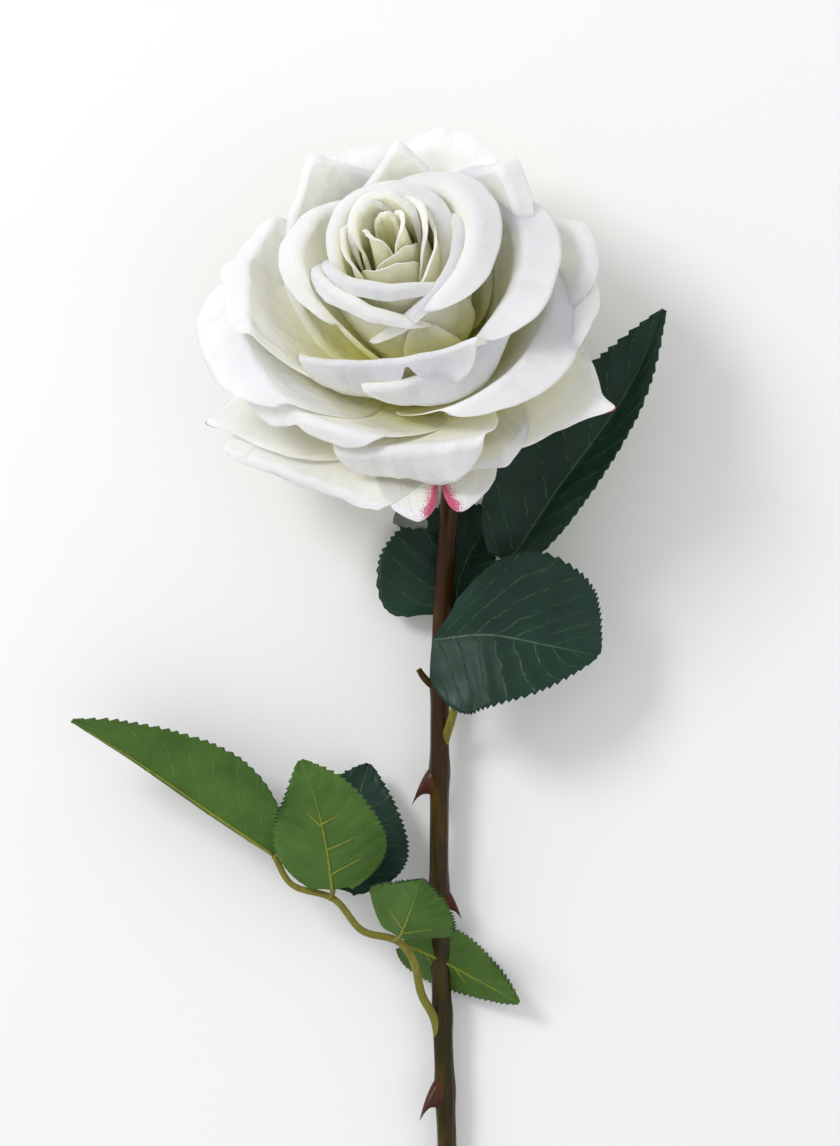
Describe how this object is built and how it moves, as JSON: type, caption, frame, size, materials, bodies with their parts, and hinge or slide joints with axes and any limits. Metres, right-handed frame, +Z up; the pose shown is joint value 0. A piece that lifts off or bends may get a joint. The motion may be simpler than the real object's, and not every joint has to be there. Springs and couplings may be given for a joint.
{
  "type": "cut rose",
  "caption": "Cut rose with one full white bloom, lying on its back: thorny stem, two sprays of toothed leaves, sepals under the bloom",
  "frame": {"origin": "bottom centre of the bounding box, on the surface that the rose lies on", "axes": "+Y runs along the stem from its cut end to the bloom, +Z is up from the surface, the bloom's face is turned up and towards +Y"},
  "size_m": [0.1726, 0.4194, 0.0881],
  "materials": {
    "petal": "white, pale yellow-green towards the base",
    "core": "pale green, hidden",
    "leaf": "dark green above, light green below, satin",
    "sepal": "grey-green, matte",
    "stem": "brown, wrinkled lengthwise, satin",
    "stalk": "olive yellow, satin"
  },
  "bodies": {
    "root": {"hip": "sepal", "core": "core", "stem": "stem", "petal_heart_1": "petal", "petal_heart_2": "petal", "petal_heart_3": "petal", "petal_heart_4": "petal", "petal_heart_5": "petal", "petal_heart_ring": "petal", "petal_heart_6": "petal", "petal_bud_left": "petal", "petal_bud_right": "petal", "petal_bud_back": "petal", "petal_bud_face": "petal", "petal_band_upper": "petal", "petal_band_lower": "petal", "petal_band_right": "petal", "petal_cup_left": "petal", "petal_fold_front": "petal", "petal_cup_right": "petal", "petal_fold_right": "petal", "petal_wing_left": "petal", "petal_peak_back": "petal", "petal_peak_left": "petal", "petal_ridge_right": "petal", "petal_roll_left": "petal", "petal_peak_right": "petal", "petal_back_right": "petal", "petal_back_left": "petal", "petal_wave_left": "petal", "petal_roll_front": "petal", "petal_broad_right": "petal", "petal_round_right": "petal", "petal_wave_right": "petal", "petal_guard_point": "petal", "petal_guard_notched": "petal", "petal_guard_left": "petal", "petal_guard_tip_left": "petal", "petal_guard_tip_right": "petal", "petal_under_left": "petal", "petal_under_right": "petal", "sepal_1": "sepal", "sepal_2": "sepal", "sepal_3": "sepal", "sepal_4": "sepal", "sepal_5": "sepal", "stalk_upper": "stalk", "stalk_lower": "stalk", "leaflet_upper_tip": "leaf", "leaflet_upper_left": "leaf", "leaflet_upper_front": "leaf", "leaflet_lower_tip": "leaf", "leaflet_lower_mid_front": "leaf", "leaflet_lower_mid_back": "leaf", "leaflet_lower_base_left": "leaf", "leaflet_lower_base_right": "leaf"}
  },
  "joints": []
}
